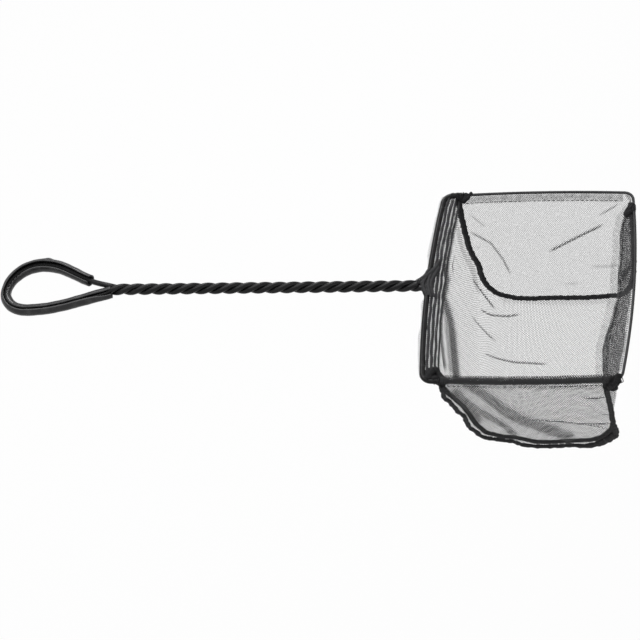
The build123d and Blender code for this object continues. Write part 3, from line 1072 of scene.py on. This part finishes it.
class FISHNET_OT_netting(bpy.types.Operator):
    """Make the netting: two side panels and the long strip between them, with their creases"""

    bl_idname = "fish_net.netting"
    bl_label = "Netting"

    def execute(self, context):
        settings = net(context)
        rim, bag = Rim(settings.wire), settings.bag
        far, near, at = seam_lines(rim)
        cloth = netting_material("black_netting", bag, bag.thread_share)
        self.panel(rim, cloth, "far", 1, far, FAR_CREASES, FAR_MESH_DRAWN)
        self.panel(rim, cloth, "near", -1, near, NEAR_CREASES, NEAR_MESH_DRAWN)
        self.strip(rim, cloth, far, near, at)
        return {"FINISHED"}

    @staticmethod
    def panel(rim, cloth, name, side, seam, creases, drawn):
        grid, flat = side_netting_rows(rim, seam, side)
        sway = PANEL_SWAY * ripple(flat[..., 0] + 0.5 * flat[..., 1], 46.0, 5 + side)
        grid[..., 1] += sway * np.minimum(1, flat[..., 1] / 15)
        grid, gather = pressed(grid, creases, rim)
        if side < 0:
            gather[-ALLOWANCE_ROWS:] += ALLOWANCE_GATHER
        piece = Piece(f"{name}_netting")
        piece.skin(grid, flat * np.array(drawn), gather=gather)
        made = piece.make(cloth, "netting", (f"{name}_panel",), outward=False)

    def strip(self, rim, cloth, far, near, at):
        grid, flat = gusset_rows(rim, far, near, at)
        sway = STRIP_SWAY * ripple(flat[..., 0] + 0.35 * flat[..., 1], 38.0, 12)
        grid = grid + grid_normals(grid) * sway[..., None]
        grid, gather = pressed(grid, GUSSET_CREASES, rim, self.strip_gather(flat, at))
        piece = Piece("gusset_netting")
        piece.skin(grid, flat, gather=gather)
        made = piece.make(cloth, "netting", ("gusset",), outward=False)

    @staticmethod
    def strip_gather(flat, at):
        """How gathered the strip is: streaked on both walls, drawn up by the near tip, thin under the hem."""
        from_start = at[:, None] / at[-1]
        below_tip = at[-1] - at[:, None]
        near_share = np.linspace(0, 1, flat.shape[1])[None, :]
        streaks = 0.5 + 0.5 * ripple(flat[..., 0] + 0.05 * flat[..., 1], 7.0, 21)
        tip_wall = held((from_start - TIP_WALL_START) / 0.02)
        handle_wall = held((HANDLE_WALL_END - from_start) / 0.06)
        gather = tip_wall * (0.10 + 0.14 * streaks) + handle_wall * 0.14 * streaks**2
        drawn = (0.14 * held((near_share - 0.42) / 0.12)
                 + 0.26 * held((near_share - 0.76) / 0.1))
        gather = gather + tip_wall * drawn * held(1.5 - below_tip / 45)
        gather = gather - (gather + 0.28) * held((TIP_HEM_DROP + 1 - below_tip) / 2)
        places = paired(100 * near_share, below_tip)
        return gather + crease_depths(places, 1.0, TIP_WALL_FOLDS)


# Seams

def overlock(piece, line, away, width, pitch, thickness):
    """A thread that zigzags over the seam's edge."""
    along = distance_along(line)
    count = int(along[-1] / pitch * 4)
    at = np.linspace(0, along[-1], count)
    base, out = points_at(line, at, along), points_at(away, at, along)
    normal = np.cross(headings(base), out)
    phase = np.arange(count) % 4
    sideways = np.array((-0.5, 0.5, 0.5, -0.5))[phase]
    lift = np.array((0.55, 0.55, -0.55, -0.55))[phase]
    path = base + out * (width * sideways)[:, None] + normal * (lift * 0.8)[:, None]
    path = curve_through(path, count=count * 4)
    piece.tube(path, thickness, 5, 1.0)


def flat_tube(piece, line, outward, radius, thin):
    """A flattened tube whose wide way lies along outward."""
    normal = np.cross(headings(line), outward)
    piece.skin(tube_rows(line, radius, 12, lambda path: (outward, normal), thin), closed=True, capped=True)


class FISHNET_OT_seams(bpy.types.Operator):
    """Make the two bound seams that join the panels to the strip"""

    bl_idname = "fish_net.seams"
    bl_label = "Seams"

    def execute(self, context):
        settings = net(context)
        rim, bag = Rim(settings.wire), settings.bag
        far, near = seam_lines(rim, count=420)[:2]
        binding = yarn_material("overlock_binding", bag.seam_colour, 0.0008)
        width = mm(bag.seam_width)
        for side, line, name in ((1, far, "far"), (-1, near, "near")):
            along = distance_along(line)
            share = along / along[-1]
            core, outward, edge = seam_course(line, side)
            uneven = 0.12 * ripple(along, 4.3, 31 + side) + 0.06 * ripple(along, 1.7, 32 + side)
            radius = width / 2 * (0.86 + uneven)
            if side > 0:
                radius *= 1 + 0.18 * held((0.72 - share) / 0.06)
                kept = along < along[-1] - TIP_HEM_DROP
                core, outward, radius = core[kept], outward[kept], radius[kept]
            piece = Piece(f"{name}_bound_seam")
            flat_tube(piece, core, outward, radius, thin=0.55)
            if side < 0:
                self.allowance_edge(piece, edge, outward, along, share)
            overlock(piece, core, outward, width * 0.7, pitch=2.6, thickness=0.24)
            piece.make(binding, "seam_binding", (f"{name}_seam",))
        return {"FINISHED"}

    @staticmethod
    def allowance_edge(piece, edge, outward, along, share):
        """The sewn outer edge of the near panel's allowance."""
        radius = 1.6 * (0.95 + 0.2 * ripple(along, 6.0, 36)) * (1 + 0.9 * bell(share, 0.66, 0.05))
        radius = radius * np.clip((0.765 - share) / 0.03, 0.25, 1)
        flat_tube(piece, edge, outward, radius, thin=0.7)
        sewn = share < 0.74
        overlock(piece, edge[sewn], outward[sewn], 1.7, pitch=3.0, thickness=0.22)


# Hems

def stitch_row(piece, line, below, pitch=3.0, length=2.1, thickness=0.21):
    """A row of short stitches along a hem; below is the way to the cloth's other face."""
    along = distance_along(line)
    for start in np.arange(1.0, along[-1] - length - 0.5, pitch):
        at = np.linspace(start, start + length, 7)
        dip = np.abs(np.linspace(-1, 1, 7)) ** 4 * 0.35
        path = points_at(line, at, along) + below * dip[:, None]
        piece.tube(path, thickness, 5)


def folded_section(wire_radius, foot, drop, slack=0.15, count=9):
    """A fold over a wire: down one face to the foot and up over the wire to the other face's foot."""
    reach = wire_radius + slack
    over = np.linspace(0, math.pi, count)
    arch = paired(reach * np.cos(over), reach * np.sin(over))
    share = np.linspace(0, 1, 8)[:, None]
    outer_foot, inner_foot = np.array((foot + 0.5, -drop)), np.array((foot - 0.5, -drop))
    outer = outer_foot + (arch[0] - outer_foot) * share
    inner = arch[-1] + (inner_foot - arch[-1]) * share
    return np.concatenate((outer, arch[1:-1], inner))


def make_fold(piece, cloth, node, rows):
    """A hem's finished fold over the wire, in place of its node."""
    made = piece.make(cloth, "hem_netting", (node,), outward=False)
    Piece.measured(rows)


class FISHNET_OT_hems(bpy.types.Operator):
    """Make the hems: turned over the wire at far and tip, rolled at near, pleated beside the handle"""

    bl_idname = "fish_net.hems"
    bl_label = "Hems"

    def execute(self, context):
        settings = net(context)
        rim, bag = Rim(settings.wire), settings.bag
        cloth = hem_cloth(bag)
        stitches = Piece("hem_stitches")
        self.turned_hem(rim, bag, cloth, stitches)
        self.tip_hem(rim, cloth, stitches)
        self.rolled_hem(rim, cloth, stitches)
        for side, name in ((1, "far"), (-1, "near")):
            self.pleated_hem(rim, cloth, stitches, side, name)
        stitches.make(sewing_thread(bag), "tack_thread")
        return {"FINISHED"}

    @staticmethod
    def turned_hem(rim, bag, cloth, stitches):
        drop = mm(bag.hem_depth)
        path = rim.line("far", COAT_PAST_CORNER + HEM_GAP, rim.length("far") - 1.0)
        uneven = 0.5 * ripple(distance_along(path), 31.0, 41)
        section = np.repeat(folded_section(rim.wire / 2, 0.0, drop)[None], len(path), axis=0)
        lower = held(-section[..., 1] / drop)
        section[..., 1] -= lower * uneven[:, None]
        rows = section_rows(path[::-1], section)
        gather = -0.22 + 0.12 * bell(lower, 0.5, 0.2) - 0.10 * (lower < 0.02)
        piece = Piece("far_hem_fold")
        piece.skin(rows, gather=gather)
        make_fold(piece, cloth, "far_hem", rows)
        stitch_row(stitches, path + np.array((0, -0.75, -drop + 1.6)), ACROSS)

    @staticmethod
    def tip_hem(rim, cloth, stitches):
        path = chain(rim.corner("far", "tip"), rim.line("tip"), rim.corner("tip", "near"))
        path = even_steps(path, step=1.0)
        along = distance_along(path)
        wall = wall_line(gusset_rows(rim, *seam_lines(rim))[0], TIP_HEM_DROP)
        foot_y = np.clip(path[:, 1], wall[-1, 1], wall[0, 1])
        foot_x = np.interp(-foot_y, -wall[:, 1], wall[:, 0])
        foot = np.stack((foot_x, foot_y, -TIP_HEM_DROP + 0.4 * ripple(along, 37.0, 43)), axis=1)
        section = folded_section(rim.wire / 2, 0.0, TIP_HEM_DROP)
        lower = held(-section[:, 1] / TIP_HEM_DROP)
        lean = foot - path + UP * TIP_HEM_DROP
        rows = section_rows(path, section) + lower[None, :, None] * lean[:, None]
        near_half = held(along / along[-1] * 2 - 0.7)[:, None]
        gather = -0.08 - 0.06 * near_half - 0.2 * (lower < 0.02) + 0.30 * bell(lower, 0.97, 0.08)
        places = paired(along[:, None], TIP_HEM_DROP * lower)
        gather = gather + crease_depths(places, 1.0, TIP_HEM_FOLDS)
        piece = Piece("tip_hem_fold")
        piece.skin(rows, gather=gather)
        ends = held(np.minimum(along, along[-1] - along) / 14)
        allowance = (TIP_ALLOWANCE + 0.4 * ripple(along, 29.0, 44)) * ends
        share = np.linspace(0, 1, 5)
        turned_in = -ALONG * allowance[:, None, None] * share[None, :, None] - UP * (0.6 * share)[:, None]
        piece.skin(foot[:, None] + turned_in, gather=-0.17)
        make_fold(piece, cloth, "tip_hem", rows)
        stitch_row(stitches, (path + (foot - path) * 0.85 + UP * 0.5)[8:-8], -UP)

    @staticmethod
    def rolled_hem(rim, cloth, stitches):
        path = rim.line("near", 1.0, rim.length("near") - COAT_PAST_CORNER - HEM_GAP)
        along = distance_along(path)
        turn = np.linspace(*NEAR_ROLL_WINDS, NEAR_ROLL_POINTS)
        reach = np.linspace(NEAR_ROLL, NEAR_ROLL_CORE, NEAR_ROLL_POINTS)
        spiral = paired(reach * np.sin(turn) * 0.8, reach * np.cos(turn))
        section = np.repeat(spiral[None], len(path), axis=0)
        section = section * (1 + 0.05 * ripple(along, 19.0, 51))[:, None, None]
        section += NEAR_ROLL_SEAT
        rows = section_rows(path, section)
        wound = np.linspace(0, 40, NEAR_ROLL_POINTS)
        streak = 0.5 + 0.5 * ripple(wound[None, :] + 0.02 * along[:, None], 5.0, 52)
        piece = Piece("near_hem_roll")
        upper_edge = bell(np.mod(turn, 2 * math.pi), 0.27 * math.pi, 0.5)[None, :]
        piece.skin(rows, gather=np.clip(0.17 + 0.42 * streak - 0.52 * upper_edge, -0.12, 1))
        lip = np.linspace(0, 1, 5)[None, :, None]
        lip_height = (0.9 + 0.3 * ripple(along, 24.0, 54))[:, None, None]
        piece.skin(path[:, None] + ACROSS * (1.9 + 0.9 * lip) + UP * (1.6 + lip_height * lip), gather=0.34)
        make_fold(piece, cloth, "near_hem", rows)
        stitch_row(stitches, path + np.array((0, -1.9, -1.9)), ACROSS)

    @staticmethod
    def pleated_hem(rim, cloth, stitches, side, name):
        middle = rim.length("handle") / 2
        path = rim.line("handle", middle - 0.8, rim.length("handle") + 4.5) * np.array((1, side, 1))
        along = distance_along(path)
        off_neck = held((along - NEAR_NECK[0] * 0.8) / 6)[:, None]
        piece = Piece(f"handle_hem_pleats_{name}")
        for number, (place, size) in enumerate(HANDLE_PLEATS):
            wander = 0.35 * ripple(along, 27.0, 60 + 7 * number + side)
            height = 0.9 - 0.40 * place + 0.3 * ripple(along, 19.0, 61 + 5 * number + side)
            ridge = path + ALONG * (place + wander)[:, None] + UP * height[:, None]
            radius = size * (1 + 0.18 * ripple(along, 7.0, 62 + 3 * number + side))
            dense = 0.80 + 0.16 * ripple(along, 9.0, 63 + number)[:, None]
            piece.skin(tube_rows(ridge, radius, 10, level_frame, 1.25), closed=True, gather=dense)
        share = np.linspace(0, 1, 24)
        ends = held((along - NEAR_NECK[0]) / 8) * held((along[-1] - along) / 9)
        reach = 1.5 + (1.1 + 0.8 * ripple(along, 41.0, 66 + side)) * ends
        sideways = -reach[:, None] + (reach[:, None] + HANDLE_HEM_WIDTH) * share
        fringe = sideways < FRINGE_INSIDE
        sideways = np.where(fringe, sideways * off_neck + FRINGE_INSIDE * (1 - off_neck), sideways)
        upward = np.broadcast_to(2.0 * np.cos((share - 0.15) * 2.2) - 1.0 - 5.6 * share**2, sideways.shape)
        rows = path[:, None] + ALONG * sideways[..., None] + UP * upward[..., None]
        piece.skin(rows, gather=np.where(fringe, -0.04, 0.36 - 0.28 * share))
        made = piece.make(cloth, "hem_netting", (f"handle_hem_{name}",), outward=False)
        stitch_row(stitches, path + np.array((9.4, 0, -5.2)), -UP)


# Corner tacks

class FISHNET_OT_corner_tacks(bpy.types.Operator):
    """Make the gathers where each seam is sewn to the rim and where the hem is drawn round the neck"""

    bl_idname = "fish_net.corner_tacks"
    bl_label = "Corner Tacks"

    def execute(self, context):
        settings = net(context)
        rim, bag = Rim(settings.wire), settings.bag
        far, near = seam_lines(rim)[:2]
        thread = sewing_thread(bag)
        long = rim.length("far")
        near_tip = chain(rim.corner("tip", "near")[4:], rim.line("near", 0.0, 6.0))
        coat, bare, roll = rim.strand / 2, rim.wire / 2, NEAR_ROLL
        # Each tack's line on the rim, the seam's end there, its knot from the line, radius inside it and bulk
        places = (
            ("far_handle", rim.line("far", -3.0, 12.0), far[0], (2.0, -2.5, -1.5), coat, 1.0),
            ("far_tip", rim.line("tip", 3.5, 10.0), far[-14], (-3.5, -0.5, -4.5), bare, 1.0),
            ("near_tip", near_tip, near[-11], (1.0, 0.5, -2.0), roll, 1.3),
            ("near_handle", rim.line("near", long - 12.0, long + 4.0), near[0], (-4.5, 8.0, -2.5),
             coat, 1.6),
        )
        nodes = ("corner_tacks",)
        for number, (name, line, foot, inside, wire_radius, bulk) in enumerate(places):
            piece = Piece(f"tack_{name}")
            knot = line[len(line) // 2] + np.array(inside)
            mixer = np.random.default_rng(70 + number)
            for _ in range(10):
                start = line[int(mixer.integers(0, len(line)))] + UP * wire_radius * 0.8
                start = start + mixer.normal(0, 0.3, 3)
                end = foot + mixer.normal(0, 0.8, 3)
                bend = knot + mixer.normal(0, bulk, 3)
                self.fold(piece, mixer, start, bend, end, 0.9 * bulk, 1.6 * bulk)
            self.windings(piece, line, wire_radius, number)
            self.loose_ends(piece, line, number)
            piece.make(thread, "tack_thread", nodes)
            nodes = ()
        self.neck_gathers(rim, hem_cloth(bag))
        return {"FINISHED"}

    @staticmethod
    def fold(piece, mixer, start, bend, end, thin, thick, gather=0.0):
        """One fold of drawn-up cloth through three points; gives back its length and girth."""
        path = curve_through((start, bend, end), count=22)
        along = np.linspace(0, 1, 22)
        radius = mixer.uniform(thin, thick) * (0.55 + 0.45 * np.sin(math.pi * (0.15 + 0.8 * along)))
        radius = radius * (1 + 0.15 * ripple(along * 20, 4.0, int(mixer.integers(1000))))
        piece.skin(tube_rows(path, radius, 9), closed=True, capped=gather == 0, gather=gather)
        return distance_along(path)[-1], 2 * math.pi * radius.mean()

    def neck_gathers(self, rim, cloth):
        """Folds of the hem drawn round the neck, from the far arm to the near one."""
        piece = Piece("neck_gathers")
        mixer = np.random.default_rng(77)
        spread, before_rim = FAR_NECK
        for inward in np.linspace(-1.0, 4.0, 6):
            start = np.array((rim.x + inward + 1.0, spread - 1.0, 1.0)) + mixer.normal(0, 0.6, 3)
            bend = np.array((rim.x + inward - 2.0, 0.5, 0.8)) + mixer.normal(0, 0.5, 3)
            end = np.array((rim.x + inward + 0.5, -NEAR_NECK[0], 0.8)) + mixer.normal(0, 0.6, 3)
            self.fold(piece, mixer, start, bend, end, 0.9, 1.4, 0.7)
        drawn = np.array((rim.x - before_rim, rim.twist_radius, 1.8))
        self.fold(piece, mixer, drawn, drawn + np.array((9.5, 9.0, -0.4)),
                               drawn + np.array((13.5, 19.0, -1.2)), 1.3, 1.5, 0.8)
        made = piece.make(cloth, "hem_netting")

    @staticmethod
    def windings(piece, line, wire_radius, number):
        """Thread wound round wire and cloth."""
        at = np.linspace(*WINDING_SPAN, WINDING_TURNS * 16)
        along = distance_along(line) / distance_along(line)[-1]
        centre = points_at(line, at, along)
        sides, above = level_frame(centre)
        angle = np.linspace(0, 2 * math.pi * WINDING_TURNS, len(at))
        reach = wire_radius + 0.12 + 0.12 * ripple(at * 40, 9.0, 90 + number)
        path = (centre + sides * (reach * np.cos(angle))[:, None]
                + above * (reach * np.sin(angle) - 0.2)[:, None])
        piece.tube(path, WINDING_THREAD, 7)

    @staticmethod
    def loose_ends(piece, line, number):
        """Two cut ends of thread."""
        mixer = np.random.default_rng(95 + number)
        for end in range(2):
            start = line[len(line) // 2 + 2 * end - 1] + np.array((0, 0, 1.0))
            lean = mixer.normal(0, 1.0, 3) * np.array((1, 1, 0.3))
            bend, tip = start + lean * 1.2 + UP * 0.6, start + lean * 2.4 - UP * 0.6
            path = curve_through((start, bend, tip), count=14)
            piece.tube(path, LOOSE_THREAD, 6)


# Stage

def background_shader(tree, plain, white):
    """Shows the white shader to the camera and to mirror-like surfaces, the plain one to the rest."""
    ray = tree.nodes.new("ShaderNodeLightPath").outputs
    mirrored = math_node(tree, "MAXIMUM", ray["Is Glossy Ray"], ray["Is Transmission Ray"])
    seen = math_node(tree, "MAXIMUM", ray["Is Camera Ray"], mirrored)
    return add_node(tree, "ShaderNodeMixShader", {0: seen, 1: plain, 2: white}).outputs[0]


class FISHNET_OT_stage(bpy.types.Operator):
    """Make the floor, the lights, the white surroundings and the camera"""

    bl_idname = "fish_net.stage"
    bl_label = "Stage"

    def execute(self, context):
        settings = net(context)
        rim, stage = Rim(settings.wire), settings.stage
        scene = context.scene
        scene.view_settings.view_transform = "Standard"
        self.floor(scene, stage)
        self.surroundings(scene, stage)
        middle = Vector((cad_box[0] + cad_box[1]) / 2)
        for name, place, size, power in LIGHTS:
            self.light(scene, name, middle + Vector(place), middle, size, getattr(stage, power))
        self.camera(scene, rim)
        return {"FINISHED"}

    @staticmethod
    def floor(scene, stage):
        low = cad_box[0][2] - stage.floor_drop
        corners = [(x * FLOOR_HALF, y * FLOOR_HALF, low) for x, y in ((-1, -1), (1, -1), (1, 1), (-1, 1))]
        mesh = bpy.data.meshes.new("floor")
        mesh.from_pydata(corners, [], [(0, 1, 2, 3)])
        floor = bpy.data.objects.new("floor", mesh)
        scene.collection.objects.link(floor)
        material = bpy.data.materials.new("floor")
        material.use_nodes = True
        tree = material.node_tree
        shader = tree.nodes["Principled BSDF"]
        set_inputs(tree, shader, {"Base Color": opaque(stage.floor_colour), "Roughness": 0.9})
        plain = shader.outputs[0]
        white = add_node(tree, "ShaderNodeEmission", {"Color": WHITE, "Strength": 1.0}).outputs[0]
        pale = add_node(tree, "ShaderNodeMixShader", {0: FLOOR_WHITE, 1: plain, 2: white}).outputs[0]
        shown = background_shader(tree, plain, pale)
        tree.links.new(shown, tree.nodes["Material Output"].inputs["Surface"])
        mesh.materials.append(material)

    @staticmethod
    def surroundings(scene, stage):
        world = bpy.data.worlds.new("white_room")
        world.use_nodes = True
        scene.world = world
        tree = world.node_tree
        plain = add_node(tree, "ShaderNodeBackground", {0: WHITE, 1: stage.world_strength}).outputs[0]
        white = add_node(tree, "ShaderNodeBackground", {0: WHITE, 1: 1.0}).outputs[0]
        tree.links.new(background_shader(tree, plain, white), tree.nodes["World Output"].inputs["Surface"])

    @staticmethod
    def light(scene, name, place, aim, size, power):
        lamp = bpy.data.lights.new(name, "AREA")
        lamp.shape = "SQUARE"
        lamp.size = size
        lamp.energy = power
        made = bpy.data.objects.new(name, lamp)
        made.location = place
        made.rotation_euler = (aim - place).to_track_quat("-Z", "Y").to_euler()
        scene.collection.objects.link(made)

    @staticmethod
    def camera(scene, rim):
        right, above, back = camera_axes()
        target = np.array((rim.x - TARGET_BEFORE_RIM, 0.0, 0.0))
        camera = bpy.data.cameras.new("photo_camera")
        camera.sensor_width = SENSOR_WIDTH
        camera.lens = SENSOR_WIDTH * PIXELS_PER_MM * DISTANCE / PHOTO_SIZE
        camera.shift_x = (PHOTO_SIZE / 2 - TARGET_PIXEL[0]) / PHOTO_SIZE
        camera.shift_y = (TARGET_PIXEL[1] - PHOTO_SIZE / 2) / PHOTO_SIZE
        made = bpy.data.objects.new("photo_camera", camera)
        place = (target + back * DISTANCE) * MM
        made.matrix_world = Matrix.Translation(place) @ Matrix((right, above, back)).transposed().to_4x4()
        scene.collection.objects.link(made)
        scene.camera = made


class FISHNET_PT_panel(bpy.types.Panel):
    """Lists the fish net's pieces and their settings."""

    bl_idname = "FISHNET_PT_panel"
    bl_label = "Fish Net"
    bl_space_type = "VIEW_3D"
    bl_region_type = "UI"
    bl_category = "Fish Net"

    def draw(self, context):
        settings = net(context)
        for group in (settings.wire, settings.sleeve, settings.bag, settings.stage):
            box = self.layout.box()
            for name in group.bl_rna.properties.keys():
                if name not in ("rna_type", "name"):
                    box.prop(group, name)
        for operator in OPERATORS:
            self.layout.operator(operator.bl_idname)


OPERATORS = (
    FISHNET_OT_coated_wire,
    FISHNET_OT_rim_wire,
    FISHNET_OT_grip_sleeve,
    FISHNET_OT_netting,
    FISHNET_OT_seams,
    FISHNET_OT_hems,
    FISHNET_OT_corner_tacks,
    FISHNET_OT_stage,
)
CLASSES = (FishNetWire, FishNetSleeve, FishNetBag, FishNetStage, FishNet, *OPERATORS, FISHNET_PT_panel)


def register():
    for each in CLASSES:
        bpy.utils.register_class(each)
    bpy.types.Scene.fish_net = PointerProperty(type=FishNet)


def unregister():
    del bpy.types.Scene.fish_net
    for each in reversed(CLASSES):
        bpy.utils.unregister_class(each)


def main():
    register()
    bpy.ops.fish_net.coated_wire()
    bpy.ops.fish_net.rim_wire()
    bpy.ops.fish_net.grip_sleeve()
    bpy.ops.fish_net.netting()
    bpy.ops.fish_net.seams()
    bpy.ops.fish_net.hems()
    bpy.ops.fish_net.corner_tacks()
    bpy.ops.fish_net.stage()


if __name__ == "__main__":
    main()
